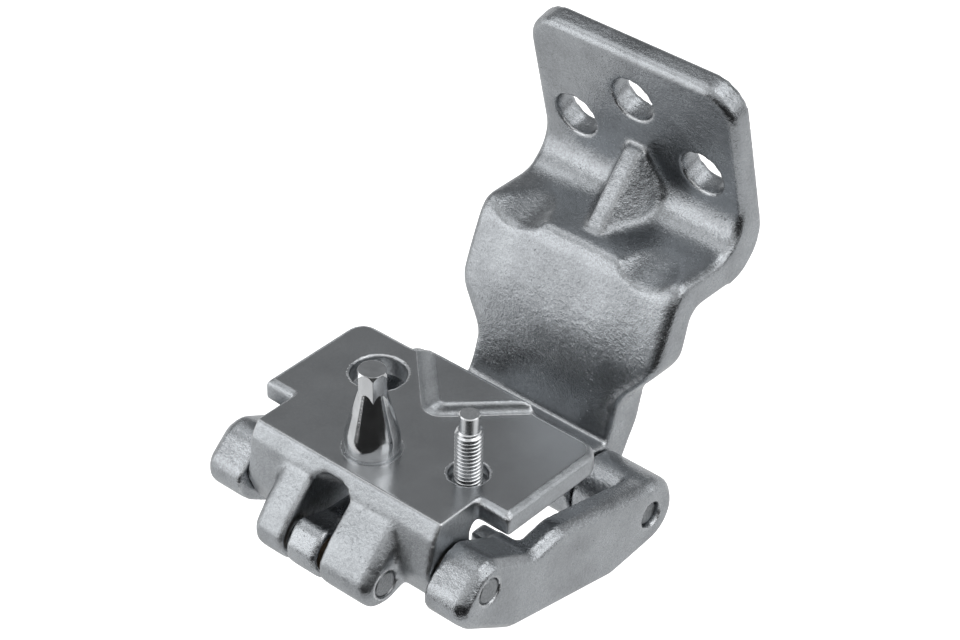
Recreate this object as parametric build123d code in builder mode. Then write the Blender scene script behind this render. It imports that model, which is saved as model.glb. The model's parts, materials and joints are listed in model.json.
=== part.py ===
"""Four-bar car door hinge: a body plate and a cranked door arm, joined by two outer links and one inner link.

X runs along the hinge pins, Y from the front beam back to the door arm, Z up from the mounting face.
The origin lies on the mounting face, in the mid-plane, level with the stud.
"""
import os
from math import cos, radians, sin, tan

from build123d import *

os.makedirs("parts", exist_ok=True)

# Pivot axes, all along X, as (Y, Z) in the side view
OUTER_FRONT_Y, OUTER_FRONT_Z = -17.7, -17.4
INNER_FRONT_Y, INNER_FRONT_Z = -29.8, -22.5
OUTER_REAR_Y, OUTER_REAR_Z = 53.4, -34.9
INNER_REAR_Y, INNER_REAR_Z = 42.0, -26.0

# Pins, bushes and fits
PIN_DIAMETER = 8.0
BUSH_WALL = 1.5
BUSH_LENGTH = 16.0
RUNNING_CLEARANCE = 0.06
PRESS_CLEARANCE = 0.01
OPEN_PIVOT_CLEARANCE = 0.85
SIDE_CLEARANCE = 0.4
PIN_RECESS = 0.4
REAR_PIN_RECESS = 1.8
PIN_CHAMFER = 0.6

# Mounting plate
PLATE_HALF_WIDTH = 45.0
PLATE_BACK = 33.0
PLATE_THICKNESS = 7.0
PLATE_EDGE_CHAMFER = 1.5
BACK_CORNER_RADIUS = 6.0
TAB_FRONT = -7.0
TAB_CORNER_RADIUS = 2.0

# Front beam under the plate
BEAM_HALF_WIDTH = 33.9
BEAM_FRONT = -21.7
BEAM_BACK = -9.4
BEVEL_RUN = 2.6
BEVEL_DROP = 4.6
BEAM_CREASE_RUN = 4.8
BEAM_CREASE_DROP = 17.0
BEAM_DEPTH = 27.5
BEAM_FOOT_CHAMFER = 4.5
BEAM_FOOT_RUN = 1.6
BEAM_EDGE_RADIUS = 1.5
BEAM_ROOT_RADIUS = 3.5

# Front knuckles and the slot that the inner link swings in
KNUCKLE_HALF_WIDTH = 22.0
KNUCKLE_RADIUS = 8.0
KNUCKLE_SINK = 1.0
KNUCKLE_END_CHAMFER = 2.6
NOSE_EDGE_RADIUS = 4.0
SLOT_X = -3.25
SLOT_ROOF = 2.2
SLOT_ROOF_TILT = 38.0
SLOT_ROOF_RADIUS = 4.5
EYE_WIDTH = 10.5
EYE_SIDE_GAP = 1.5

# Holes and fittings in the plate
STUD_X, STUD_Y = 24.7, 0.0
STUD_DIAMETER = 8.0
STUD_HEIGHT = 20.2
STUD_DOG_DIAMETER = 5.9
STUD_DOG_LENGTH = 5.2
STUD_DOG_CHAMFER = 0.3
STUD_HOLE_DIAMETER = 11.2
STUD_FLANGE_DIAMETER = 15.0
STUD_FLANGE_HEIGHT = 3.2
CENTRING_X, CENTRING_Y = -2.1, -9.2
CENTRING_DIAMETER = 15.8
CENTRING_LAND = 4.4
CENTRING_SHOULDER_RADIUS = 12.0
CENTRING_NECK_DIAMETER = 6.8
CENTRING_NECK_HEIGHT = 22.0
CENTRING_HEIGHT = 26.5
CENTRING_SEAT = 0.3
CENTRING_SEAT_GAP = 0.7
CENTRING_SHANK_DIAMETER = 9.0
CENTRING_SHANK_DEPTH = 6.0
HEX_ACROSS_FLATS = 7.8
HEX_TURN = 15.0
HEX_ROOT = 14.0
HEX_TIP_SLOPE = 66.0
PLATE_HOLE_X, PLATE_HOLE_Y = -23.4, 16.7
PLATE_HOLE_DIAMETER = 16.5
PAD_HEIGHT = 3.0
PAD_APEX_X, PAD_APEX_Y = 1.2, 14.5
PAD_EDGE_ANGLE = 45.0
PAD_RIGHT_DRAFT = 18.0
PAD_LEFT_DRAFT = 54.0
PAD_BACK_RADIUS = 2.5
PAD_CORNER_RADIUS = 2.0

# Outer links
LINK_OUTER_FACE = 48.3
LINK_BAR_THICKNESS = 7.8
LINK_REAR_RADIUS = 11.0
LINK_CROWN = 8.7
LINK_NOSE = 11.2
LINK_CHIN = 10.5
LINK_BELLY = 12.6
LINK_NECK_Y, LINK_NECK_Z = 18.3, 0.4
LINK_HUMP_Y, LINK_HUMP_Z = 30.6, 2.4
LINK_OUTLINE_RADIUS = 6.4
LINK_HUMP_RADIUS = 9.0
LINK_EDGE_CHAMFER = 2.4
SHOULDER_FACE = 28.0
SHOULDER_GAP = 6.4
SHOULDER_LENGTH = 6.0
SHOULDER_DEPTH = 10.5

# Inner link
INNER_BAR_HEIGHT = 10.0
INNER_EYE_RADIUS = 8.0
INNER_EDGE_CHAMFER = 0.8

# Door arm
ARM_HALF_WIDTH = 36.8
ARM_FOOT_HALF_WIDTH = 26.6
ARM_FOOT_RADIUS = 12.0
FOOT_SETBACK = 6.0
FOOT_TANGENT = radians(30.0)
NECK_Z = 2.0
NECK_FRONT_Y = 65.6
NECK_THICKNESS = 14.2
NECK_RADIUS = 12.0
NECK_FRONT_RADIUS = 180.0
WAIST_TOP = 1.0
WAIST_BOTTOM = -11.5
WAIST_RADIUS = 9.0
RIDGE_Y = 76.8
RIDGE_RADIUS = 4.0
BROW_RUN = 3.2
BROW_DROP = 4.6
BROW_RADIUS = 4.0
CROOK_SETBACK = 6.4
CROOK_RADIUS = 5.0
SHELF_Z = 26.0
SHELF_THICKNESS = 10.6
SHELF_FILLET = 11.0
HEEL_RADIUS = 14.0
FLANGE_LEAN = 14.6
FLANGE_FOOT_Y = 106.6
FLANGE_TOP_Z = 80.4
FLANGE_THICKNESS = 7.8
FLANGE_CORNER_RADIUS = 11.0
FLANGE_HOLE_DIAMETER = 14.6
FLANGE_HOLE_SPACING = 46.0
FLANGE_HOLE_Z = 47.0
FLANGE_HOLE_RISE = 17.2
POCKET_RADIUS = 17.5
POCKET_START = 9.0
RIB_WIDTH = 5.4
RIB_FOOT_WIDTH = 17.0
RIB_FRONT = 81.5
RIB_TOP = 47.0
RIB_LEDGE = 2.4
RIB_SETBACK = 12.0
RIB_ROOT = 1.0
ARM_EDGE_CHAMFER = 1.6
LUG_WALL = 8.0
LUG_RADIUS = 8.4
EYE_CLEARANCE = 0.8

# Worked-out sizes shared by the pieces
BUSH_DIAMETER = PIN_DIAMETER + 2 * BUSH_WALL
SLOT_WIDTH = EYE_WIDTH + 2 * EYE_SIDE_GAP
LINK_INNER_FACE = BEAM_HALF_WIDTH + SIDE_CLEARANCE
LINK_BAR_FACE = LINK_OUTER_FACE - LINK_BAR_THICKNESS
LINK_BOSS_FACE = ARM_FOOT_HALF_WIDTH + SIDE_CLEARANCE
LUG_HALF_WIDTH = SLOT_WIDTH / 2 + LUG_WALL
SIDE_VIEW = Plane.YZ
TOUCH = 0.1
OUTER_FRONT = (OUTER_FRONT_Y, OUTER_FRONT_Z)
INNER_FRONT = (INNER_FRONT_Y, INNER_FRONT_Z)
OUTER_REAR = (OUTER_REAR_Y, OUTER_REAR_Z)
INNER_REAR = (INNER_REAR_Y, INNER_REAR_Z)


def nose_outline(pivot, radius):
    """Faceted cast nose round a front pivot, from its upper back corner round the front to the lower back."""
    y, z = pivot
    facets = [(-0.38, 1.05), (-0.97, 0.24), (-0.95, -0.34), (-0.46, -0.98), (0.24, -1.06)]
    return [(y + radius * fy, z + radius * fz) for fy, fz in facets]


def pad_apex(drop):
    """Corner of the pad's outline at a drop below its top face, where its two drafted sides meet."""
    right = drop * tan(radians(PAD_RIGHT_DRAFT))
    left = drop * tan(radians(PAD_LEFT_DRAFT))
    turn = radians(PAD_EDGE_ANGLE)
    return (PAD_APEX_X + (right - left) * cos(turn), PAD_APEX_Y - (right + left) * sin(turn))


def corner(sketch, point):
    """Corner of a sketch nearest a point of its own plane."""
    return sketch.vertices().sort_by_distance((*point, 0))[0]


def save(builder, label):
    """Name a finished piece and write it to its own file."""
    builder.part.label = label
    export_step(builder.part, f"parts/{label}.step")


# Body plate: mounting plate, front beam, knuckles and pad in one casting
bevel_foot = (BEAM_FRONT - BEVEL_RUN, -BEVEL_DROP)
with BuildPart() as body_plate:
    with BuildSketch(SIDE_VIEW) as knuckle_section:
        with BuildLine():
            Polyline(
                (BEAM_BACK, bevel_foot[1] - KNUCKLE_SINK),
                (bevel_foot[0], bevel_foot[1] - KNUCKLE_SINK),
                *nose_outline(INNER_FRONT, KNUCKLE_RADIUS),
                (OUTER_FRONT_Y, -BEAM_DEPTH),
                (BEAM_BACK - BEAM_FOOT_CHAMFER, KNUCKLE_SINK - BEAM_DEPTH),
                close=True,
            )
        make_face()
        fillet(knuckle_section.vertices().sort_by(Axis.X)[0:5], NOSE_EDGE_RADIUS)
    extrude(amount=KNUCKLE_HALF_WIDTH, both=True)
    chamfer(body_plate.faces().filter_by(Axis.X).edges(), KNUCKLE_END_CHAMFER)

    with BuildSketch(Plane.XY) as plate_outline:
        with Locations((0, (TAB_FRONT + PLATE_BACK) / 2)):
            Rectangle(2 * PLATE_HALF_WIDTH, PLATE_BACK - TAB_FRONT)
        with Locations((0, (BEAM_BACK + PLATE_BACK) / 2)):
            Rectangle(2 * BEAM_HALF_WIDTH, PLATE_BACK - BEAM_BACK)
        tab_corners = plate_outline.vertices().filter_by(lambda v: abs(v.X) > PLATE_HALF_WIDTH - TOUCH)
        fillet(tab_corners.group_by(Axis.Y)[-1], BACK_CORNER_RADIUS)
        fillet(tab_corners.group_by(Axis.Y)[0], TAB_CORNER_RADIUS)
    extrude(amount=-PLATE_THICKNESS)
    plate_top = body_plate.faces().filter_by(Axis.Z).sort_by(Axis.Z)[-1]
    rim = plate_top.edges().filter_by(lambda e: e.center().Y > TAB_FRONT - TOUCH)
    chamfer(rim, PLATE_EDGE_CHAMFER)

    with BuildSketch(SIDE_VIEW) as beam_section:
        with BuildLine():
            Polyline(
                (BEAM_BACK, 0),
                (BEAM_FRONT, 0),
                bevel_foot,
                (BEAM_FRONT - BEAM_CREASE_RUN, -BEAM_CREASE_DROP),
                (BEAM_FRONT - BEAM_FOOT_RUN, BEAM_FOOT_CHAMFER / 2 - BEAM_DEPTH),
                (BEAM_FRONT + BEAM_FOOT_CHAMFER / 2, -BEAM_DEPTH),
                (BEAM_BACK - BEAM_FOOT_CHAMFER, -BEAM_DEPTH),
                (BEAM_BACK, BEAM_FOOT_CHAMFER - BEAM_DEPTH),
                close=True,
            )
        make_face()
        fillet(beam_section.vertices().sort_by(Axis.Y)[0:4], BEAM_EDGE_RADIUS)
    extrude(amount=BEAM_HALF_WIDTH, both=True)
    beam_root = body_plate.edges().filter_by(Axis.X).filter_by(
        lambda e: abs(e.center().Y - BEAM_BACK) < TOUCH and abs(e.center().Z + PLATE_THICKNESS) < TOUCH
    )
    fillet(beam_root, BEAM_ROOT_RADIUS)

    slot_mouth = Plane(
        origin=(SLOT_X, BEAM_FRONT - BEVEL_RUN, -SLOT_ROOF),
        x_dir=(1, 0, 0),
        z_dir=(0, cos(radians(SLOT_ROOF_TILT)), -sin(radians(SLOT_ROOF_TILT))),
    )
    with BuildSketch(slot_mouth) as slot_section:
        Rectangle(SLOT_WIDTH, 3 * BEAM_DEPTH, align=(Align.CENTER, Align.MIN))
        fillet(slot_section.vertices().group_by(Axis.Y)[0], SLOT_ROOF_RADIUS)
    extrude(amount=2 * BEAM_DEPTH, both=True, mode=Mode.SUBTRACT)

    for side in (1, -1):
        with Locations(Plane((side * BEAM_HALF_WIDTH, *OUTER_FRONT), x_dir=(0, side, 0), z_dir=(side, 0, 0))):
            Hole(BUSH_DIAMETER / 2 + PRESS_CLEARANCE, depth=BUSH_LENGTH + SIDE_CLEARANCE)
    with Locations(Plane((KNUCKLE_HALF_WIDTH, *INNER_FRONT), x_dir=(0, 1, 0), z_dir=(1, 0, 0))):
        Hole(PIN_DIAMETER / 2 + PRESS_CLEARANCE, depth=2 * KNUCKLE_HALF_WIDTH)

    pad_reach = 2 * (PLATE_BACK - PAD_APEX_Y)
    pad_spread = pad_reach * tan(radians(PAD_EDGE_ANGLE))
    for drop in (PAD_HEIGHT + PLATE_EDGE_CHAMFER, 0):
        apex = pad_apex(drop)
        with BuildSketch(Plane.XY.offset(PAD_HEIGHT - drop)) as pad_outline:
            with BuildLine():
                Polyline(
                    apex,
                    (apex[0] + pad_spread, apex[1] + pad_reach),
                    (apex[0] - pad_spread, apex[1] + pad_reach),
                    close=True,
                )
            make_face()
            fillet(corner(pad_outline, apex), PAD_CORNER_RADIUS + drop)
    loft(ruled=True)
    split(bisect_by=Plane.XZ.offset(-PLATE_BACK))
    pad_back = body_plate.faces().sort_by(Axis.Z)[-1].edges().sort_by(Axis.Y)[-1]
    fillet(pad_back, PAD_BACK_RADIUS)

    with Locations((PLATE_HOLE_X, PLATE_HOLE_Y, 0)):
        Hole(PLATE_HOLE_DIAMETER / 2, depth=PLATE_THICKNESS)
    with Locations((STUD_X, STUD_Y, 0)):
        Hole(STUD_HOLE_DIAMETER / 2, depth=PLATE_THICKNESS)
    with Locations(Plane((STUD_X, STUD_Y, -PLATE_THICKNESS), z_dir=(0, 0, -1))):
        Hole(STUD_FLANGE_DIAMETER / 2 + PRESS_CLEARANCE, depth=STUD_FLANGE_HEIGHT)
    with Locations((CENTRING_X, CENTRING_Y, 0)):
        CounterBoreHole(
            radius=CENTRING_SHANK_DIAMETER / 2 + PRESS_CLEARANCE,
            counter_bore_radius=CENTRING_DIAMETER / 2 + CENTRING_SEAT_GAP,
            counter_bore_depth=CENTRING_SEAT,
            depth=CENTRING_SHANK_DEPTH,
        )
save(body_plate, "body_plate")

# Centring pin: a hexagonal tip, turned to a cone at its end, on a turned cone with a shank in the plate
with BuildPart() as centring_pin:
    with BuildSketch(Plane.XY.offset(HEX_ROOT)):
        RegularPolygon(HEX_ACROSS_FLATS / 2, 6, major_radius=False, rotation=HEX_TURN)
    extrude(amount=CENTRING_HEIGHT - HEX_ROOT)
    tip_fall = CENTRING_DIAMETER / 2 * tan(radians(HEX_TIP_SLOPE))
    with BuildSketch(Plane.XZ):
        with BuildLine():
            Polyline(
                (0, CENTRING_HEIGHT),
                (HEX_ACROSS_FLATS / 2, CENTRING_HEIGHT),
                (HEX_ACROSS_FLATS / 2 + CENTRING_DIAMETER / 2, CENTRING_HEIGHT - tip_fall),
                (0, CENTRING_HEIGHT - tip_fall),
                close=True,
            )
        make_face()
    revolve(axis=Axis.Z, mode=Mode.INTERSECT)
    with BuildSketch(Plane.XZ) as cone_section:
        with BuildLine():
            Polyline(
                (0, CENTRING_NECK_HEIGHT),
                (0, -CENTRING_SHANK_DEPTH),
                (CENTRING_SHANK_DIAMETER / 2, -CENTRING_SHANK_DEPTH),
                (CENTRING_SHANK_DIAMETER / 2, -CENTRING_SEAT),
                (CENTRING_DIAMETER / 2, -CENTRING_SEAT),
                (CENTRING_DIAMETER / 2, CENTRING_LAND),
                (CENTRING_NECK_DIAMETER / 2, CENTRING_NECK_HEIGHT),
                close=True,
            )
        make_face()
        fillet(corner(cone_section, (CENTRING_DIAMETER / 2, CENTRING_LAND)), CENTRING_SHOULDER_RADIUS)
    revolve(axis=Axis.Z)
centring_pin.part.locate(Location((CENTRING_X, CENTRING_Y, 0)))
save(centring_pin, "centring_pin")

# Threaded stud: flange pressed into the plate from below, shank and dog point
with BuildPart() as threaded_stud:
    with Locations((STUD_X, STUD_Y, -PLATE_THICKNESS)):
        Cylinder(STUD_FLANGE_DIAMETER / 2, STUD_FLANGE_HEIGHT, align=(Align.CENTER, Align.CENTER, Align.MIN))
        Cylinder(
            STUD_DIAMETER / 2,
            PLATE_THICKNESS + STUD_HEIGHT - STUD_DOG_LENGTH,
            align=(Align.CENTER, Align.CENTER, Align.MIN),
        )
    thread_end = threaded_stud.faces().sort_by(Axis.Z)[-1]
    chamfer(thread_end.edges(), (STUD_DIAMETER - STUD_DOG_DIAMETER) / 4)
    with Locations((STUD_X, STUD_Y, STUD_HEIGHT - STUD_DOG_LENGTH)):
        Cylinder(STUD_DOG_DIAMETER / 2, STUD_DOG_LENGTH, align=(Align.CENTER, Align.CENTER, Align.MIN))
    chamfer(threaded_stud.faces().sort_by(Axis.Z)[-1].edges(), STUD_DOG_CHAMFER)
save(threaded_stud, "threaded_stud")

# Outer links: cast bars with a faceted front knuckle, a shoulder behind the beam and a boss at the door arm
link_neck = (OUTER_FRONT_Y + LINK_NECK_Y, OUTER_FRONT_Z + LINK_NECK_Z)
link_hump = (OUTER_FRONT_Y + LINK_HUMP_Y, OUTER_FRONT_Z + LINK_HUMP_Z)
shoulder_back = (BEAM_BACK + SHOULDER_GAP + SHOULDER_LENGTH, link_neck[1])
for side, hand in ((1, "right"), (-1, "left")):
    with BuildPart() as outer_link:
        with BuildSketch(SIDE_VIEW.offset(side * LINK_INNER_FACE)) as link_outline:
            with BuildLine():
                Polyline(
                    (OUTER_FRONT_Y + 0.3 * LINK_CROWN, OUTER_FRONT_Z + LINK_CROWN),
                    (OUTER_FRONT_Y - 0.3 * LINK_CROWN, OUTER_FRONT_Z + 0.9 * LINK_CROWN),
                    (OUTER_FRONT_Y - LINK_NOSE, OUTER_FRONT_Z),
                    (OUTER_FRONT_Y - LINK_NOSE, OUTER_FRONT_Z - 0.55 * LINK_CHIN),
                    (OUTER_FRONT_Y - 0.6 * LINK_NOSE, OUTER_FRONT_Z - LINK_CHIN),
                    (OUTER_FRONT_Y + 0.9 * LINK_NOSE, OUTER_FRONT_Z - 2 * LINK_CHIN),
                    (OUTER_REAR_Y - 1.6 * LINK_REAR_RADIUS, OUTER_REAR_Z - LINK_BELLY),
                    (OUTER_REAR_Y + 0.1 * LINK_REAR_RADIUS, OUTER_REAR_Z - LINK_REAR_RADIUS),
                    (OUTER_REAR_Y, OUTER_REAR_Z),
                    (OUTER_REAR_Y - 0.1 * LINK_REAR_RADIUS, OUTER_REAR_Z + LINK_REAR_RADIUS),
                    link_hump,
                    link_neck,
                    close=True,
                )
            make_face()
            with Locations(OUTER_REAR):
                Circle(LINK_REAR_RADIUS)
            fillet(corner(link_outline, link_hump), LINK_HUMP_RADIUS)
            front_corners = link_outline.vertices().filter_by(lambda v: v.X < link_neck[0] + 1)
            fillet(front_corners, LINK_OUTLINE_RADIUS)
        extrude(amount=side * (LINK_OUTER_FACE - LINK_INNER_FACE))
        outer_rim = outer_link.faces().filter_by(Axis.X).sort_by(Axis.X)[-1 if side > 0 else 0].edges()
        chamfer(outer_rim, LINK_EDGE_CHAMFER)
        with BuildSketch(SIDE_VIEW.offset(side * LINK_INNER_FACE)):
            with Locations(shoulder_back):
                Rectangle(2 * OUTER_REAR_Y, 4 * LINK_REAR_RADIUS, align=(Align.MIN, Align.CENTER))
        extrude(amount=side * (LINK_BAR_FACE - LINK_INNER_FACE), mode=Mode.SUBTRACT)
        with BuildSketch(SIDE_VIEW.offset(side * SHOULDER_FACE)):
            with Locations(shoulder_back):
                Rectangle(SHOULDER_LENGTH, SHOULDER_DEPTH, align=(Align.MAX, Align.MAX))
        extrude(amount=side * (LINK_BAR_FACE - SHOULDER_FACE))
        with BuildSketch(SIDE_VIEW.offset(side * LINK_BOSS_FACE)):
            with Locations(OUTER_REAR):
                Circle(LINK_REAR_RADIUS)
        extrude(amount=side * (LINK_BAR_FACE - LINK_BOSS_FACE))
        for pivot in (OUTER_FRONT, OUTER_REAR):
            with Locations(Plane((side * LINK_OUTER_FACE, *pivot), x_dir=(0, side, 0), z_dir=(side, 0, 0))):
                Hole(PIN_DIAMETER / 2 + PRESS_CLEARANCE, depth=LINK_OUTER_FACE - LINK_BOSS_FACE)
    save(outer_link, f"outer_link_{hand}")

# Inner link: a straight cast bar between two bushed eyes
with BuildPart() as inner_link:
    with BuildSketch(SIDE_VIEW.offset(SLOT_X - EYE_WIDTH / 2)) as inner_outline:
        with BuildLine():
            Polyline(
                (INNER_FRONT_Y + INNER_EYE_RADIUS, INNER_FRONT_Z + INNER_BAR_HEIGHT / 2),
                *nose_outline(INNER_FRONT, INNER_EYE_RADIUS),
                (INNER_FRONT_Y + INNER_EYE_RADIUS, INNER_FRONT_Z - INNER_BAR_HEIGHT / 2),
                (INNER_REAR_Y, INNER_REAR_Z - INNER_BAR_HEIGHT / 2),
                (INNER_REAR_Y, INNER_REAR_Z + INNER_BAR_HEIGHT / 2),
                close=True,
            )
        make_face()
        fillet(inner_outline.vertices().sort_by(Axis.X)[0:4], NOSE_EDGE_RADIUS)
        with Locations(INNER_REAR):
            Circle(INNER_EYE_RADIUS)
    extrude(amount=EYE_WIDTH)
    chamfer(inner_link.faces().filter_by(Axis.X).edges(), INNER_EDGE_CHAMFER)
    for pivot in (INNER_FRONT, INNER_REAR):
        with Locations(Plane((SLOT_X + EYE_WIDTH / 2, *pivot), x_dir=(0, 1, 0), z_dir=(1, 0, 0))):
            Hole(BUSH_DIAMETER / 2 + PRESS_CLEARANCE, depth=EYE_WIDTH)
save(inner_link, "inner_link")

# Door arm: foot round the rear pivots, waisted neck, shelf and leaning flange in one casting
lean = radians(FLANGE_LEAN)


def on_flange(z, depth):
    """Point of the side view straight behind the flange's front face, from height z on that face."""
    return (FLANGE_FOOT_Y - (z - SHELF_Z) * tan(lean) + depth * cos(lean), z + depth * sin(lean))


def rib_section(setback):
    """Outline of the rib in the side view, with its ends drawn back towards the corner that it stiffens."""
    return [
        (RIB_FRONT + setback, SHELF_Z),
        on_flange(RIB_TOP - setback, -RIB_LEDGE),
        on_flange(RIB_TOP - setback, RIB_ROOT),
        on_flange(SHELF_Z, RIB_ROOT),
        (RIB_FRONT + setback, SHELF_Z - RIB_ROOT),
    ]


shelf_underside = SHELF_Z - SHELF_THICKNESS
shelf_root = on_flange(SHELF_Z, 0)
heel = on_flange(shelf_underside - FLANGE_THICKNESS * sin(lean), FLANGE_THICKNESS)
brow = (RIDGE_Y - BROW_RUN, SHELF_Z - BROW_DROP)
ridge = (RIDGE_Y, SHELF_Z)
crook = (RIDGE_Y + CROOK_SETBACK, shelf_underside)
foot_top = OUTER_REAR_Z + ARM_FOOT_RADIUS
neck_front = (NECK_FRONT_Y, NECK_Z)
neck_back = (NECK_FRONT_Y + NECK_THICKNESS, NECK_Z)
foot_front = (OUTER_REAR_Y + FOOT_SETBACK, foot_top)
foot_back = (OUTER_REAR_Y + FOOT_SETBACK + NECK_THICKNESS, foot_top)
foot_heel = (
    OUTER_REAR_Y + ARM_FOOT_RADIUS * cos(FOOT_TANGENT),
    OUTER_REAR_Z - ARM_FOOT_RADIUS * sin(FOOT_TANGENT),
)
flange_face = Plane(
    origin=(0, *on_flange(FLANGE_HOLE_Z, 0)),
    x_dir=(1, 0, 0),
    z_dir=(0, -cos(lean), -sin(lean)),
)
with BuildPart() as door_arm:
    with BuildSketch(SIDE_VIEW) as arm_section:
        with BuildLine():
            Polyline(
                OUTER_REAR,
                foot_front,
                neck_front,
                brow,
                ridge,
                shelf_root,
                on_flange(FLANGE_TOP_Z, 0),
                on_flange(FLANGE_TOP_Z, FLANGE_THICKNESS),
                heel,
                crook,
                neck_back,
                foot_back,
                foot_heel,
                close=True,
            )
        make_face()
        fillet(corner(arm_section, shelf_root), SHELF_FILLET)
        fillet(corner(arm_section, heel), HEEL_RADIUS)
        fillet(corner(arm_section, crook), CROOK_RADIUS)
        fillet(corner(arm_section, ridge), RIDGE_RADIUS)
        fillet(corner(arm_section, brow), BROW_RADIUS)
        for bend in (foot_back, neck_back):
            fillet(corner(arm_section, bend), NECK_RADIUS)
        fillet(corner(arm_section, neck_front), NECK_FRONT_RADIUS)
        with Locations(OUTER_REAR):
            Circle(ARM_FOOT_RADIUS)
    extrude(amount=ARM_HALF_WIDTH, both=True)

    with BuildSketch(Plane.XZ) as arm_front_view:
        with BuildLine():
            Polyline(
                (ARM_FOOT_HALF_WIDTH, OUTER_REAR_Z - ARM_FOOT_RADIUS),
                (ARM_FOOT_HALF_WIDTH, WAIST_BOTTOM),
                (ARM_HALF_WIDTH, WAIST_TOP),
                (ARM_HALF_WIDTH, FLANGE_TOP_Z + FLANGE_THICKNESS),
                (-ARM_HALF_WIDTH, FLANGE_TOP_Z + FLANGE_THICKNESS),
                (-ARM_HALF_WIDTH, WAIST_TOP),
                (-ARM_FOOT_HALF_WIDTH, WAIST_BOTTOM),
                (-ARM_FOOT_HALF_WIDTH, OUTER_REAR_Z - ARM_FOOT_RADIUS),
                close=True,
            )
        make_face()
        waist = arm_front_view.vertices().group_by(Axis.Y)[1:3]
        fillet(waist, WAIST_RADIUS)
    extrude(amount=2 * FLANGE_FOOT_Y, both=True, mode=Mode.INTERSECT)
    flange_top = door_arm.faces().sort_by(Axis.Z)[-1]
    fillet(flange_top.edges().filter_by(Axis.X, reverse=True), FLANGE_CORNER_RADIUS)
    front_edge = door_arm.edges().sort_by_distance((ARM_HALF_WIDTH, *on_flange(FLANGE_HOLE_Z, 0)))[0]
    chamfer(front_edge, ARM_EDGE_CHAMFER)

    with BuildSketch(SIDE_VIEW.offset(SLOT_X)):
        with Locations(OUTER_REAR):
            Circle(ARM_FOOT_RADIUS)
        with Locations(INNER_REAR):
            Circle(LUG_RADIUS)
        make_hull()
    extrude(amount=LUG_HALF_WIDTH, both=True)

    for across, setback in (
        (-RIB_FOOT_WIDTH / 2, RIB_SETBACK),
        (-RIB_WIDTH / 2, 0),
        (RIB_WIDTH / 2, 0),
        (RIB_FOOT_WIDTH / 2, RIB_SETBACK),
    ):
        with BuildSketch(SIDE_VIEW.offset(across)):
            with BuildLine():
                Polyline(*rib_section(setback), close=True)
            make_face()
    loft(ruled=True)

    with BuildSketch(flange_face.offset(POCKET_START)):
        with GridLocations(FLANGE_HOLE_SPACING, 0, 2, 1):
            Circle(POCKET_RADIUS)
    extrude(amount=FLANGE_FOOT_Y - OUTER_REAR_Y, mode=Mode.SUBTRACT)
    with Locations(flange_face):
        with GridLocations(FLANGE_HOLE_SPACING, 0, 2, 1):
            Hole(FLANGE_HOLE_DIAMETER / 2, depth=FLANGE_THICKNESS)
        with Locations((0, FLANGE_HOLE_RISE)):
            Hole(FLANGE_HOLE_DIAMETER / 2, depth=FLANGE_THICKNESS)

    with BuildSketch(SIDE_VIEW.offset(SLOT_X)):
        with Locations(INNER_REAR):
            Circle(INNER_EYE_RADIUS + EYE_CLEARANCE)
            Rectangle(2 * LUG_RADIUS, 4 * ARM_FOOT_RADIUS, align=(Align.MAX, Align.CENTER))
    extrude(amount=SLOT_WIDTH / 2, both=True, mode=Mode.SUBTRACT)
    with Locations(Plane((ARM_FOOT_HALF_WIDTH, *OUTER_REAR), x_dir=(0, 1, 0), z_dir=(1, 0, 0))):
        Hole(BUSH_DIAMETER / 2 + PRESS_CLEARANCE, depth=2 * ARM_FOOT_HALF_WIDTH)
    with Locations(Plane((SLOT_X + LUG_HALF_WIDTH, *INNER_REAR), x_dir=(0, 1, 0), z_dir=(1, 0, 0))):
        Hole(PIN_DIAMETER / 2 + PRESS_CLEARANCE, depth=2 * LUG_HALF_WIDTH)
save(door_arm, "door_arm")

# Bushes: plain rings pressed into the beam, the arm's foot and the inner link's eyes
running_bore = PIN_DIAMETER / 2 + RUNNING_CLEARANCE
open_bore = PIN_DIAMETER / 2 + OPEN_PIVOT_CLEARANCE
eye_sides = (SLOT_X - EYE_WIDTH / 2, SLOT_X + EYE_WIDTH / 2)
beam_side = (BEAM_HALF_WIDTH - BUSH_LENGTH, BEAM_HALF_WIDTH)
foot_side = (ARM_FOOT_HALF_WIDTH - BUSH_LENGTH, ARM_FOOT_HALF_WIDTH)
bushes = (
    ("outer_front_bush_right", OUTER_FRONT, beam_side, running_bore),
    ("outer_front_bush_left", OUTER_FRONT, (-beam_side[1], -beam_side[0]), running_bore),
    ("outer_rear_bush_right", OUTER_REAR, foot_side, running_bore),
    ("outer_rear_bush_left", OUTER_REAR, (-foot_side[1], -foot_side[0]), running_bore),
    ("inner_front_bush", INNER_FRONT, eye_sides, running_bore),
    ("inner_rear_bush", INNER_REAR, eye_sides, open_bore),
)
for label, pivot, (low, high), bore in bushes:
    with BuildPart() as bush:
        with BuildSketch(SIDE_VIEW.offset(low)):
            with Locations(pivot):
                Circle(BUSH_DIAMETER / 2)
                Circle(bore, mode=Mode.SUBTRACT)
        extrude(amount=high - low)
    save(bush, label)

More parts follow.
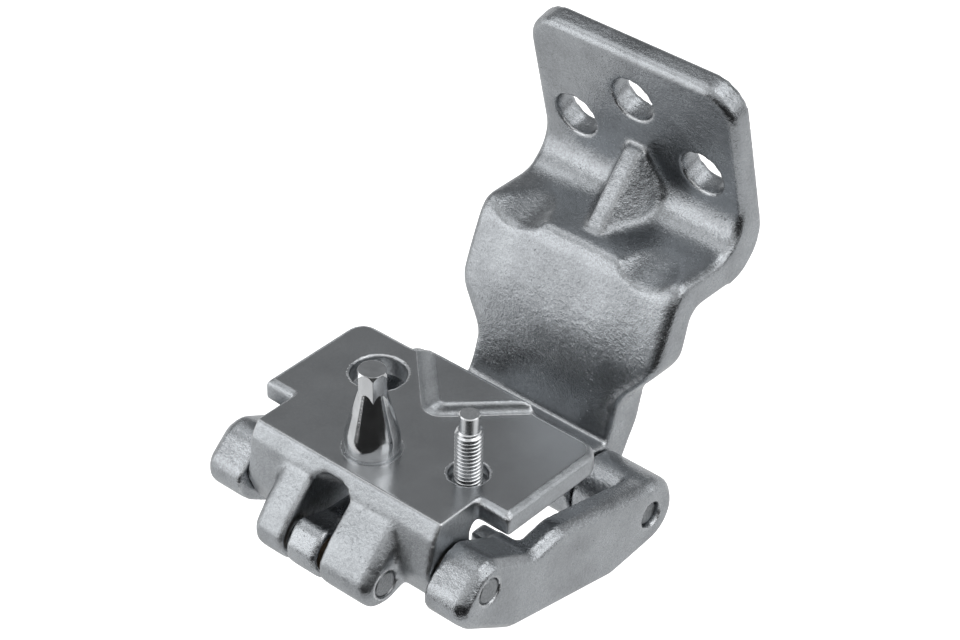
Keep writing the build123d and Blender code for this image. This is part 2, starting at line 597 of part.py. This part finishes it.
# Hinge pins: plain pins with chamfered ends
front_pin = (BEAM_HALF_WIDTH - BUSH_LENGTH, LINK_OUTER_FACE - PIN_RECESS)
rear_end = LINK_OUTER_FACE - REAR_PIN_RECESS
knuckle_end = KNUCKLE_HALF_WIDTH - PIN_RECESS
pins = (
    ("outer_front_pin_right", OUTER_FRONT, front_pin),
    ("outer_front_pin_left", OUTER_FRONT, (-front_pin[1], -front_pin[0])),
    ("outer_rear_pin", OUTER_REAR, (-rear_end, rear_end)),
    ("inner_front_pin", INNER_FRONT, (-knuckle_end, knuckle_end)),
    ("inner_rear_pin", INNER_REAR, (SLOT_X - LUG_HALF_WIDTH, SLOT_X + LUG_HALF_WIDTH)),
)
for label, pivot, (low, high) in pins:
    with BuildPart() as pin:
        with BuildSketch(SIDE_VIEW.offset(low)):
            with Locations(pivot):
                Circle(PIN_DIAMETER / 2)
        extrude(amount=high - low)
        chamfer(pin.edges().filter_by(GeomType.CIRCLE), PIN_CHAMFER)
    save(pin, label)
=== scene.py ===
"""Studio scene of a car door hinge: plated castings on four pivots, a polished pin and a threaded stud."""
import json
from math import ceil, cos, pi, radians, sin

import bmesh
import bpy
from mathutils import Matrix, Vector

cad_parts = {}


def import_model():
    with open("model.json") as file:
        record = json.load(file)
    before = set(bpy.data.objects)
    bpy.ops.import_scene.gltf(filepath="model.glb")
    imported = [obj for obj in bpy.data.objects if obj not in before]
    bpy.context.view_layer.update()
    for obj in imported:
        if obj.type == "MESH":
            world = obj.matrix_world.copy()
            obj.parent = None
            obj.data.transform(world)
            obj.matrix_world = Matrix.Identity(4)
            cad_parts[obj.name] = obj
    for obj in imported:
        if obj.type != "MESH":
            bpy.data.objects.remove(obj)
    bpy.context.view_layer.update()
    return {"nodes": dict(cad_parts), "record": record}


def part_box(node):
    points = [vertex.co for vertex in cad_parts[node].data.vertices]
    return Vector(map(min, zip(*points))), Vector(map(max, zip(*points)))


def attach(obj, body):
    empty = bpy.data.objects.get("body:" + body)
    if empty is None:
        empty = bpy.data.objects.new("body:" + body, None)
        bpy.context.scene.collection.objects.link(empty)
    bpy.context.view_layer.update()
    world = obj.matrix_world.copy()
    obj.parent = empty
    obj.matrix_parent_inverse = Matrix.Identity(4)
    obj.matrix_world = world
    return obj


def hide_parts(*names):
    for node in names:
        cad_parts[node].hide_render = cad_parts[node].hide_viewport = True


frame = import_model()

MM = 0.001
ACROSS = Vector((1, 0, 0))
UP = Vector((0, 0, 1))
MERGE_DISTANCE = 0.001 * MM


def grey(level, warmth=0.0):
    """A grey, a touch cool below a warmth of 0."""
    return (level * (1 + warmth), level, level * (1 - warmth), 1.0)


# Camera: its place, its turn from -Y towards +X, its tilt and roll, and a lens for a 36 mm wide frame
CAMERA_PLACE = Vector((416.8, -465.1, 493.0)) * MM
CAMERA_AZIMUTH = radians(39.94)
CAMERA_ELEVATION = radians(36.0)
CAMERA_ROLL = radians(1.52)
CAMERA_LENS = 108.49
CAMERA_NEAR = 10 * MM
FRAME_WIDTH = 36.0
TOWARDS_CAMERA = Vector((sin(CAMERA_AZIMUTH), -cos(CAMERA_AZIMUTH), 0))

# Stud: head, M8 thread and dog point. The crest and the root are shares of the pitch, and the thread is
# rolled a few turns too long before it is trimmed.
STUD_RADIUS = 4.0 * MM
STUD_HEAD_HEIGHT = 3.2 * MM
STUD_DOG_RADIUS = 2.95 * MM
STUD_DOG_LENGTH = 5.2 * MM
STUD_DOG_CHAMFER = 0.3 * MM
THREAD_PITCH = 1.25 * MM
THREAD_DEPTH = 0.72 * MM
THREAD_CREST = 0.16
THREAD_ROOT = 0.2
THREAD_END_RUN = 0.9 * MM
TURNS_BELOW = 2
TURNS_ABOVE = 1
TURN_STEPS = 96
SHARP_ANGLE = radians(40)

# Cast skins: the spacing of their points, the passes that ease a whole skin, the share of the way a point
# moves in a pass, and the passes for each casting away from its holes
SKIN_STEP = 0.65 * MM
RIM_EASING = 2
EASING_SHARE = 0.5
EASING = {"body_plate": 1, "door_arm": 4, "outer_link_right": 4, "outer_link_left": 4, "inner_link": 1}
# Softer spots of the castings: reaches from the mid-plane, along Y and along Z in mm, then more passes
SOFT_SPOTS = (
    ("body_plate", (0, 40), (-60, -23), (-60, -6), 9),  # front knuckles
    ("door_arm", (3.2, 15), (78, 112), (24, 50), 26),  # flanks of the rib
    ("door_arm", (20, 60), (40, 100), (-14, 27), 18),  # sides of the neck
)
# The rim of a hole that is eased only lightly, and the room round the stud and the pin in their holes
HOLE_RIM = 0.7 * MM
STUD_HOLE_GAP = 1.5 * MM

# Grain of the cast skin: sizes, heights in grain depths, and shares of the tone
GRIT_SIZE = 0.3 * MM
PEBBLE_SIZE = 0.85 * MM
PIT_SIZE = 0.9 * MM
DENT_SIZE = 1.9 * MM
LUMP_SIZE = 4.5 * MM
BLOTCH_SIZE = 13.0 * MM
GRAIN_DEPTH = 0.12 * MM
GRIT_HEIGHT = 0.55
PEBBLE_HEIGHT = 0.75
DENT_HEIGHT = 0.7
LUMP_HEIGHT = 1.1
PIT_HEIGHT = -0.8
GRIT_TONE = 0.4
PEBBLE_TONE = 0.3
BLOTCH_TONE = 0.5
NOISE_MIDDLE = 0.5
PIT_SPAN = (0.7, 0.78)
WIDE_SPAN = (0.2, 0.8)
TIGHT_SPAN = (0.3, 0.7)

# Eased edges, lightened as wear and as a painted highlight, from the cosine of their turn; painted shade in
# corners, from how open they are; and grime in pits
EDGE_RADIUS = 1.0 * MM
PLATE_EDGE_RADIUS = 0.7 * MM
EDGE_SAMPLES = 6
WEAR_AND_HIGHLIGHT_SPAN = (0.9995, 0.965)
CASTING_WEAR_AND_HIGHLIGHT = 0.6
PLATE_WEAR_AND_HIGHLIGHT = 0.7
CORNER_SHADE_REACH = 4.0 * MM
CORNER_SHADE_SAMPLES = 6
CORNER_SHADE_SPAN = (0.85, 0.4)
CORNER_SHADE_SHARE = 0.85
PIT_GRIME = 0.6

# Machined face of the plate: its lean and its heights, and how much of the cast grain and tone it keeps
FACE_LEAN_SPAN = (0.97, 0.995)
FACE_HEIGHT_SPAN = (-0.3 * MM, -0.1 * MM)
FACE_GRAIN = 0.07
FACE_TONE = 0.4

# Marks on the pins, the stud and the bushes
POLISHED_EDGE_RADIUS = 0.25 * MM
POLISHED_BLOTCH_SIZE = 4.0 * MM
TOOL_RING_SIZE = 0.4 * MM
TOOL_RING_STRETCH = (0.02, 0.02, 1.0)
TOOL_RING_DEPTH = 0.01 * MM
PIN_EDGE_RADIUS = 0.3 * MM
PIN_SPECKLE_SIZE = 0.6 * MM
PIN_SPECKLE_DEPTH = 0.05 * MM
STUD_SPECKLE_SIZE = 0.5 * MM
BUSH_SPECKLE_SIZE = 0.8 * MM

# Colours, each metal's from dark to bright
ZINC = (grey(0.22, -0.045), grey(0.46, -0.045))
MACHINED_ZINC = (grey(0.37, -0.025), grey(0.53, -0.025))
POLISHED_STEEL = (grey(0.52, -0.02), grey(0.62, -0.02))
STUD_STEEL = (grey(0.55, -0.02), grey(0.75, -0.02))
PIN_STEEL = (grey(0.2, -0.04), grey(0.32, -0.04))
# Bronze of the bushes darkened as painted shade, for the gaps they sit in
SHADE_DARKENED_BRONZE = ((0.15, 0.11, 0.07, 1.0), (0.27, 0.2, 0.13, 1.0))
# Dark of the grime in pits and of the painted shade in corners
GRIME_AND_SHADE = grey(0.07, -0.03)
# Colour of worn edges, lightened further as a painted highlight
WORN_AND_HIGHLIT_CASTING = grey(0.7, -0.02)
WORN_AND_HIGHLIT_PLATE = grey(0.75, -0.02)

# Roughness, each metal's from sleek to dull, and what pebbles, worn edges and cast sides add to it
CASTING_ROUGHNESS = (0.13, 0.27)
PLATE_ROUGHNESS = (0.19, 0.29)
POLISHED_ROUGHNESS = (0.09, 0.17)
STUD_ROUGHNESS = (0.18, 0.3)
PIN_ROUGHNESS = (0.36, 0.51)
BUSH_ROUGHNESS = (0.35, 0.45)
PEBBLE_ROUGHNESS = 0.1
WEAR_ROUGHNESS = -0.04
CAST_SIDE_ROUGHNESS = 0.07

# Floor, which lies below the door arm's lowest reach as it swings
FLOOR_HALF_WIDTH = 1.6
FLOOR_FRONT = 153 * MM
FLOOR_HEIGHT = -126 * MM
FLOOR_GLOW = 0.8
FLOOR_MIRROR_GLOW = 0.08
PAPER = grey(0.85)

# Surround: its colours from low to high behind the hinge and in front of it, and where they blend
WHITE = grey(1.0)
BACKDROP = (WHITE, grey(0.28, -0.02))
BACKDROP_SPAN = (0.1, 0.4)
DARK_ROOM = (grey(0.03), grey(0.9))
DARK_ROOM_SPAN = (0.15, 0.45)
FRONT_SPAN = (-0.2, 0.2)

# Lamps: name, azimuth from +X towards +Y and elevation in degrees, width and height in metres, radiance
LAMP_DISTANCE = 1.2
LAMPS = (
    ("front_left_box", 231, 12.5, 1.1, 1.1, 1.55),
    ("right_box", 15, 22, 1.1, 0.7, 1.4),
    ("upper_left_box", 185, 60, 0.8, 0.7, 1.2),
    ("upper_right_box", 36, 66, 0.8, 0.7, 1.8),
)


class Value:
    """A number in a finish. Sums, differences and products of it add Math nodes."""

    def __init__(self, finish, socket):
        self.finish = finish
        self.socket = socket

    def math(self, operation, first, second):
        return self.finish.value("ShaderNodeMath", {"operation": operation}, {0: first, 1: second})

    def __add__(self, other):
        return self.math("ADD", self, other)

    def __sub__(self, other):
        return self.math("SUBTRACT", self, other)

    def __rsub__(self, other):
        return self.math("SUBTRACT", other, self)

    def __mul__(self, other):
        return self.math("MULTIPLY", self, other)

    def larger(self, other):
        return self.math("MAXIMUM", self, other)

    def between(self, low, high):
        """The value's run from 0 to 1, mapped evenly to low and high."""
        return self * (high - low) + low

    def span(self, low, high):
        """The value's run from low to high, mapped smoothly to 0 and 1."""
        settings = {"interpolation_type": "SMOOTHSTEP"}
        return self.finish.value("ShaderNodeMapRange", settings, {0: self, 1: low, 2: high})


class Finish:
    """A procedural material or surround: its nodes, and a material's one shader."""

    def __init__(self, name, tree=None):
        if tree is None:
            self.material = bpy.data.materials.new(name)
            self.material.use_nodes = True
            tree = self.material.node_tree
            self.shader = tree.nodes["Principled BSDF"]
        self.tree = tree
        self.place = None

    def node(self, kind, settings=None, sockets=None):
        """Add a node: its settings first, then the values or links of its sockets."""
        made = self.tree.nodes.new(kind)
        for name, setting in (settings or {}).items():
            setattr(made, name, setting)
        for name, given in (sockets or {}).items():
            self.feed(made.inputs[name], given)
        return made

    def feed(self, socket, given):
        """Link a socket to a wrapped value or another socket, or set its own value."""
        if isinstance(given, Value):
            given = given.socket
        if isinstance(given, bpy.types.NodeSocket):
            self.tree.links.new(given, socket)
        else:
            socket.default_value = given

    def value(self, kind, settings=None, sockets=None, output=0):
        """Add a node and wrap one of its outputs."""
        return Value(self, self.node(kind, settings, sockets).outputs[output])

    def coordinates(self, output="Object"):
        if self.place is None:
            self.place = self.node("ShaderNodeTexCoord")
        return self.place.outputs[output]

    def noise(self, size, detail=2.0, roughness=0.5, stretch=None):
        """Noise whose lumps are about one size across, in metres."""
        place = self.coordinates()
        if stretch is not None:
            place = self.node("ShaderNodeMapping", None, {"Vector": place, "Scale": stretch}).outputs[0]
        sockets = {"Vector": place, "Scale": 1.0 / size, "Detail": detail, "Roughness": roughness}
        return self.value("ShaderNodeTexNoise", None, sockets)

    def mix(self, factor, first, second):
        """Blend of two colours."""
        made = self.node("ShaderNodeMix", {"data_type": "RGBA"}, {0: factor, 6: first, 7: second})
        return made.outputs[2]

    def along(self, vector, axis):
        """One of a vector's three parts."""
        return self.value("ShaderNodeSeparateXYZ", None, {0: vector}, "XYZ".index(axis))

    def dot(self, first, second):
        """How far two directions agree, as the cosine between them."""
        settings = {"operation": "DOT_PRODUCT"}
        return self.value("ShaderNodeVectorMath", settings, {0: first, 1: second}, "Value")

    def rounded_normal(self, radius):
        """Surface direction with every sharp edge eased over a small radius."""
        return self.node("ShaderNodeBevel", {"samples": EDGE_SAMPLES}, {"Radius": radius}).outputs[0]

    def edge_wear_and_highlight(self, normal):
        """Worn edges and painted highlight: 1 on eased edges and 0 on flats, from the turn between the eased
        and the true normal.
        """
        true_normal = self.node("ShaderNodeNewGeometry").outputs["True Normal"]
        return self.dot(normal, true_normal).span(*WEAR_AND_HIGHLIGHT_SPAN)

    def corner_shade(self):
        """Painted shade: full deep in the piece's own corners and 0 in the open."""
        settings = {"samples": CORNER_SHADE_SAMPLES, "only_local": True}
        openness = self.value("ShaderNodeAmbientOcclusion", settings, {"Distance": CORNER_SHADE_REACH}, "AO")
        return openness.span(*CORNER_SHADE_SPAN) * CORNER_SHADE_SHARE

    def bump(self, height, distance, normal):
        sockets = {"Height": height, "Distance": distance, "Normal": normal}
        return self.node("ShaderNodeBump", None, sockets).outputs[0]

    def dress(self, **sockets):
        """Feed a metal's shader sockets, named in words joined by underscores."""
        sockets["metallic"] = 1.0
        for name, given in sockets.items():
            self.feed(self.shader.inputs[name.replace("_", " ").title()], given)


class CastSkin:
    """Grain of an as-cast, plated skin: grit on pebbles, dents, lumps, blotches and pits."""

    def __init__(self, finish):
        grit = finish.noise(GRIT_SIZE, 1.0)
        dents = finish.noise(DENT_SIZE)
        lumps = finish.noise(LUMP_SIZE)
        self.pebbles = finish.noise(PEBBLE_SIZE, 2.0, 0.55)
        self.blotch = finish.noise(BLOTCH_SIZE, 3.0, 0.55)
        self.pits = finish.noise(PIT_SIZE, 2.0, 0.6).span(*PIT_SPAN)
        fine = grit * GRIT_HEIGHT + self.pebbles * PEBBLE_HEIGHT
        coarse = dents * DENT_HEIGHT + lumps * LUMP_HEIGHT
        self.height = fine + coarse + self.pits * PIT_HEIGHT
        speckle = (grit - NOISE_MIDDLE) * GRIT_TONE + (self.pebbles - NOISE_MIDDLE) * PEBBLE_TONE
        self.tone = speckle + (self.blotch - NOISE_MIDDLE) * BLOTCH_TONE + NOISE_MIDDLE


def plated_casting():
    """Zinc-plated as-cast steel: a pebbled satin skin with edges brightened as wear and as a painted
    highlight, and painted shade in its corners.
    """
    finish = Finish("plated_casting")
    eased = finish.rounded_normal(EDGE_RADIUS)
    wear_and_highlight = finish.edge_wear_and_highlight(eased)
    skin = CastSkin(finish)
    colour = finish.mix(skin.tone.span(*WIDE_SPAN), *ZINC)
    # Grime in pits, and painted shade in the piece's own corners
    colour = finish.mix((skin.pits * PIT_GRIME).larger(finish.corner_shade()), colour, GRIME_AND_SHADE)
    satin = skin.blotch.between(*CASTING_ROUGHNESS) + skin.pebbles * PEBBLE_ROUGHNESS
    finish.dress(
        # Edges lightened as wear and as a painted highlight
        base_color=finish.mix(wear_and_highlight * CASTING_WEAR_AND_HIGHLIGHT, colour, WORN_AND_HIGHLIT_CASTING),
        roughness=satin + wear_and_highlight * WEAR_ROUGHNESS,
        normal=finish.bump(skin.height, GRAIN_DEPTH, eased),
    )
    return finish.material


def plated_plate():
    """The body plate: a smooth machined face on a casting with a pebbled skin."""
    finish = Finish("plated_plate")
    eased = finish.rounded_normal(PLATE_EDGE_RADIUS)
    wear_and_highlight = finish.edge_wear_and_highlight(eased)
    skin = CastSkin(finish)
    facing_up = finish.along(finish.coordinates("Normal"), "Z").span(*FACE_LEAN_SPAN)
    face = facing_up * finish.along(finish.coordinates(), "Z").span(*FACE_HEIGHT_SPAN)
    cast = 1 - face
    tone = (skin.tone - NOISE_MIDDLE) * cast.between(FACE_TONE, 1) + NOISE_MIDDLE
    machined = finish.mix(tone.span(*TIGHT_SPAN), *MACHINED_ZINC)
    colour = finish.mix(face, finish.mix(tone.span(*WIDE_SPAN), *ZINC), machined)
    # Painted shade in the corners of the cast sides
    colour = finish.mix(finish.corner_shade() * cast, colour, GRIME_AND_SHADE)
    finish.dress(
        # Edges lightened as wear and as a painted highlight
        base_color=finish.mix(wear_and_highlight * PLATE_WEAR_AND_HIGHLIGHT, colour, WORN_AND_HIGHLIT_PLATE),
        roughness=skin.blotch.between(*PLATE_ROUGHNESS) + cast * CAST_SIDE_ROUGHNESS,
        normal=finish.bump(skin.height * cast.between(FACE_GRAIN, 1), GRAIN_DEPTH, eased),
    )
    return finish.material


def polished_pin():
    """Turned and polished steel with faint tool rings."""
    finish = Finish("polished_pin")
    eased = finish.rounded_normal(POLISHED_EDGE_RADIUS)
    rings = finish.noise(TOOL_RING_SIZE, 1.0, stretch=TOOL_RING_STRETCH)
    blotch = finish.noise(POLISHED_BLOTCH_SIZE)
    finish.dress(
        base_color=finish.mix(blotch.span(*TIGHT_SPAN), *POLISHED_STEEL),
        roughness=blotch.between(*POLISHED_ROUGHNESS),
        normal=finish.bump(rings, TOOL_RING_DEPTH, eased),
    )
    return finish.material


def pin_steel():
    """Dull plated pin ends."""
    finish = Finish("pin_steel")
    eased = finish.rounded_normal(PIN_EDGE_RADIUS)
    speckle = finish.noise(PIN_SPECKLE_SIZE, 3.0, 0.6)
    finish.dress(
        base_color=finish.mix(speckle.span(*TIGHT_SPAN), *PIN_STEEL),
        roughness=speckle.between(*PIN_ROUGHNESS),
        normal=finish.bump(speckle, PIN_SPECKLE_DEPTH, eased),
    )
    return finish.material


def speckled_metal(name, speckle_size, colours, roughness):
    """A plain metal with a fine speckle: the bright stud, or bronze bushes darkened as painted shade for the
    gaps they sit in.
    """
    finish = Finish(name)
    speckle = finish.noise(speckle_size)
    finish.dress(
        base_color=finish.mix(speckle, *colours),
        roughness=speckle.between(*roughness),
    )
    return finish.material


FINISHES = {
    "plated_casting": plated_casting(),
    "plated_plate": plated_plate(),
    "polished_pin": polished_pin(),
    "stud_steel": speckled_metal("stud_steel", STUD_SPECKLE_SIZE, STUD_STEEL, STUD_ROUGHNESS),
    "pin_steel": pin_steel(),
    "bush_bronze": speckled_metal("bush_bronze", BUSH_SPECKLE_SIZE, SHADE_DARKENED_BRONZE, BUSH_ROUGHNESS),
}


def dress_nodes():
    """Give every CAD node the finish of its slot."""
    for row in frame["record"]["subparts"]:
        node = frame["nodes"][row["node"]]
        node.data.materials.clear()
        node.data.materials.append(FINISHES[row["material_slot"]])


def add_object(name, mesh, material):
    """Link a finished bmesh as an object with one material."""
    shape = bpy.data.meshes.new(name)
    mesh.to_mesh(shape)
    mesh.free()
    shape.materials.append(material)
    made = bpy.data.objects.new(name, shape)
    bpy.context.scene.collection.objects.link(made)
    return made


def shade_smooth(mesh):
    for face in mesh.faces:
        face.smooth = True


def bores():
    """Every hole of the castings, as a point on its axis, the axis, a half length and a radius."""
    found = []
    for name in frame["nodes"]:
        low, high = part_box(name)
        middle = (low + high) / 2
        half = (high - low) / 2
        if any(word in name for word in ("front_pin", "rear_pin", "bush")):
            found.append((middle, ACROSS, half.x, half.z))
        elif name in ("threaded_stud", "centring_pin"):
            found.append((middle, UP, half.z, half.x + STUD_HOLE_GAP))
    for mount in frame["record"]["mounts"]:
        if mount["kind"] == "bore":
            sizes = mount["dims"]
            middle, axis = Vector(mount["pos_m"]), Vector(mount["axis"])
            found.append((middle, axis, sizes["length_mm"] * MM / 2, sizes["r_mm"] * MM))
    return found


def in_bore(point, holes):
    """Whether a point of a casting lies on a hole's wall or its rim."""
    for middle, axis, half_length, radius in holes:
        away = point - middle
        along = away.dot(axis)
        if abs(along) < half_length + HOLE_RIM and (away - axis * along).length < radius + HOLE_RIM:
            return True
    return False


def in_spot(point, reaches):
    """Whether a point lies within a soft spot, which is the same on both sides of the mid-plane."""
    place = (abs(point.x), point.y, point.z)
    return all(low * MM < part < high * MM for part, (low, high) in zip(place, reaches))


def ease(mesh, corners, passes):
    """Round a mesh's edges by moving its points towards their neighbours."""
    every_way = {"use_axis_x": True, "use_axis_y": True, "use_axis_z": True}
    for _ in range(passes):
        bmesh.ops.smooth_vert(mesh, verts=corners, factor=EASING_SHARE, **every_way)


def cast_skin(node, body, slot, holes):
    """A casting's skin: its solid meshed evenly, its edges eased as a mould leaves them, its bores kept."""
    mesh = bmesh.new()
    mesh.from_mesh(frame["nodes"][node].data)
    bmesh.ops.remove_doubles(mesh, verts=mesh.verts, dist=MERGE_DISTANCE)
    piece = add_object(node + "_skin", mesh, FINISHES[slot])
    even = piece.modifiers.new("even", "REMESH")
    even.mode = "VOXEL"
    even.voxel_size = SKIN_STEP
    graph = bpy.context.evaluated_depsgraph_get()
    meshed = bpy.data.meshes.new_from_object(piece.evaluated_get(graph))
    piece.modifiers.clear()
    mesh = bmesh.new()
    mesh.from_mesh(meshed)
    bpy.data.meshes.remove(meshed)
    free = [corner for corner in mesh.verts if not in_bore(corner.co, holes)]
    ease(mesh, mesh.verts, RIM_EASING)
    ease(mesh, free, EASING[node])
    for spot, *reaches, passes in SOFT_SPOTS:
        if spot == node:
            ease(mesh, [corner for corner in free if in_spot(corner.co, reaches)], passes)
    shade_smooth(mesh)
    mesh.to_mesh(piece.data)
    mesh.free()
    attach(piece, body)
    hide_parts(node)


def cast_skins():
    """A skin for every casting."""
    holes = bores()
    slots = {row["node"]: row["material_slot"] for row in frame["record"]["subparts"]}
    for body, nodes in frame["record"]["behaviour"]["bodies"].items():
        for node in nodes:
            if node in EASING:
                cast_skin(node, body, slots[node], holes)


def chain(mesh, axis, profile):
    """Corners at radii and heights beside an upright axis, and the edges that join them in a line."""
    corners = [mesh.verts.new((axis.x + radius, axis.y, height)) for radius, height in profile]
    edges = [mesh.edges.new(pair) for pair in zip(corners, corners[1:])]
    return corners + edges


def spin(mesh, axis, line, **settings):
    """Turn a line once about an upright axis and close its seams."""
    bmesh.ops.spin(mesh, geom=line, cent=axis, axis=UP, angle=2 * pi, steps=TURN_STEPS, **settings)
    bmesh.ops.remove_doubles(mesh, verts=mesh.verts, dist=MERGE_DISTANCE)


def roll_thread(mesh, axis, start, end):
    """Screw a thread's outline about the axis, trim it to two heights and run it out at its upper end."""
    flank = (1 - THREAD_CREST - THREAD_ROOT) / 2
    root_radius = STUD_RADIUS - THREAD_DEPTH
    outline = [
        (0, STUD_RADIUS),
        (THREAD_CREST, STUD_RADIUS),
        (THREAD_CREST + flank, root_radius),
        (1 - flank, root_radius),
    ]
    turns = ceil((end - start) / THREAD_PITCH) + TURNS_BELOW + TURNS_ABOVE
    profile = [
        (radius, start + (count + share - TURNS_BELOW) * THREAD_PITCH)
        for count in range(turns)
        for share, radius in outline
    ]
    spin(mesh, axis, chain(mesh, axis, profile), dvec=UP * (THREAD_PITCH / TURN_STEPS))
    for height, side in ((start, "clear_inner"), (end, "clear_outer")):
        everything = [*mesh.verts, *mesh.edges, *mesh.faces]
        bmesh.ops.bisect_plane(mesh, geom=everything, plane_co=UP * height, plane_no=UP, **{side: True})
    bmesh.ops.holes_fill(mesh, edges=[edge for edge in mesh.edges if edge.is_boundary], sides=0)
    for corner in mesh.verts:
        away = Vector((corner.co.x - axis.x, corner.co.y - axis.y, 0))
        run_out = STUD_RADIUS - max(0.0, corner.co.z - (end - THREAD_END_RUN))
        if away.length > run_out:
            corner.co -= away * (1 - run_out / away.length)


def stud():
    """The threaded stud: a turned head, a rolled thread and a turned dog point."""
    low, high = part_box("threaded_stud")
    axis = (low + high) / 2
    head_radius = (high.x - low.x) / 2
    start = low.z + STUD_HEAD_HEIGHT
    end = high.z - STUD_DOG_LENGTH
    head = [(0, low.z), (head_radius, low.z), (head_radius, start), (0, start)]
    dog_point = [
        (0, end),
        (STUD_DOG_RADIUS, end),
        (STUD_DOG_RADIUS, high.z - STUD_DOG_CHAMFER),
        (STUD_DOG_RADIUS - STUD_DOG_CHAMFER, high.z),
        (0, high.z),
    ]
    mesh = bmesh.new()
    roll_thread(mesh, axis, start, end)
    for profile in (head, dog_point):
        spin(mesh, axis, chain(mesh, axis, profile), use_merge=True)
    bmesh.ops.recalc_face_normals(mesh, faces=mesh.faces)
    shade_smooth(mesh)
    piece = add_object("stud", mesh, FINISHES["stud_steel"])
    piece.data.set_sharp_from_angle(angle=SHARP_ANGLE)
    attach(piece, "body_bracket")
    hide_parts("threaded_stud")


def camera():
    """The photograph's viewpoint."""
    across = Vector((cos(CAMERA_AZIMUTH), sin(CAMERA_AZIMUTH), 0))
    back = TOWARDS_CAMERA * cos(CAMERA_ELEVATION) + UP * sin(CAMERA_ELEVATION)
    right = across * cos(CAMERA_ROLL) + back.cross(across) * sin(CAMERA_ROLL)
    facing = Matrix((right, back.cross(right), back)).transposed().to_4x4()
    lens = bpy.data.cameras.new("camera")
    lens.lens = CAMERA_LENS
    lens.sensor_width = FRAME_WIDTH
    lens.clip_start = CAMERA_NEAR
    holder = bpy.data.objects.new("camera", lens)
    holder.matrix_world = Matrix.Translation(CAMERA_PLACE) @ facing
    bpy.context.scene.collection.objects.link(holder)
    bpy.context.scene.camera = holder


def floor():
    """A white sheet below the hinge, from a little in front of it to far behind."""
    finish = Finish("floor")
    path = finish.node("ShaderNodeLightPath").outputs
    mirrored = Value(finish, path["Is Glossy Ray"]).larger(Value(finish, path["Is Transmission Ray"]))
    shown = Value(finish, path["Is Camera Ray"]) * FLOOR_GLOW + mirrored * FLOOR_MIRROR_GLOW
    paper = finish.node("ShaderNodeBsdfDiffuse", None, {"Color": PAPER})
    glow = finish.node("ShaderNodeEmission", None, {"Strength": shown})
    both = finish.node("ShaderNodeAddShader", None, {0: paper.outputs[0], 1: glow.outputs[0]})
    finish.feed(finish.tree.nodes["Material Output"].inputs[0], both.outputs[0])
    mesh = bmesh.new()
    bmesh.ops.create_grid(mesh, x_segments=1, y_segments=1, size=FLOOR_HALF_WIDTH)
    bmesh.ops.rotate(mesh, verts=mesh.verts, matrix=Matrix.Rotation(CAMERA_AZIMUTH, 3, "Z"))
    place = TOWARDS_CAMERA * (FLOOR_FRONT - FLOOR_HALF_WIDTH) + UP * FLOOR_HEIGHT
    bmesh.ops.translate(mesh, verts=mesh.verts, vec=place)
    add_object("floor", mesh, finish.material)


def world():
    """Studio surround: white with a dim ceiling behind the hinge, dark with a bright ceiling in front of it.

    The camera itself sees plain white.
    """
    place = bpy.data.worlds.new("studio")
    place.use_nodes = True
    bpy.context.scene.world = place
    finish = Finish("studio", place.node_tree)
    direction = finish.coordinates("Generated")
    rise = finish.along(direction, "Z")
    backdrop = finish.mix(rise.span(*BACKDROP_SPAN), *BACKDROP)
    dark_room = finish.mix(rise.span(*DARK_ROOM_SPAN), *DARK_ROOM)
    studio = finish.mix(finish.dot(direction, TOWARDS_CAMERA).span(*FRONT_SPAN), backdrop, dark_room)
    seen = finish.node("ShaderNodeLightPath").outputs["Is Camera Ray"]
    finish.feed(place.node_tree.nodes["Background"].inputs[0], finish.mix(seen, studio, WHITE))


def lamp(name, azimuth, elevation, width, height, radiance):
    """A soft rectangular lamp aimed at the hinge."""
    light = bpy.data.lights.new(name, "AREA")
    light.shape = "RECTANGLE"
    light.size = width
    light.size_y = height
    light.energy = radiance * pi * width * height
    turn, tilt = radians(azimuth), radians(elevation)
    away = Vector((cos(tilt) * cos(turn), cos(tilt) * sin(turn), sin(tilt)))
    holder = bpy.data.objects.new(name, light)
    holder.rotation_euler = (-away).to_track_quat("-Z", "Y").to_euler()
    holder.location = away * LAMP_DISTANCE
    bpy.context.scene.collection.objects.link(holder)


dress_nodes()
cast_skins()
stud()
camera()
floor()
world()
for row in LAMPS:
    lamp(*row)
bpy.context.scene.view_settings.view_transform = "Standard"
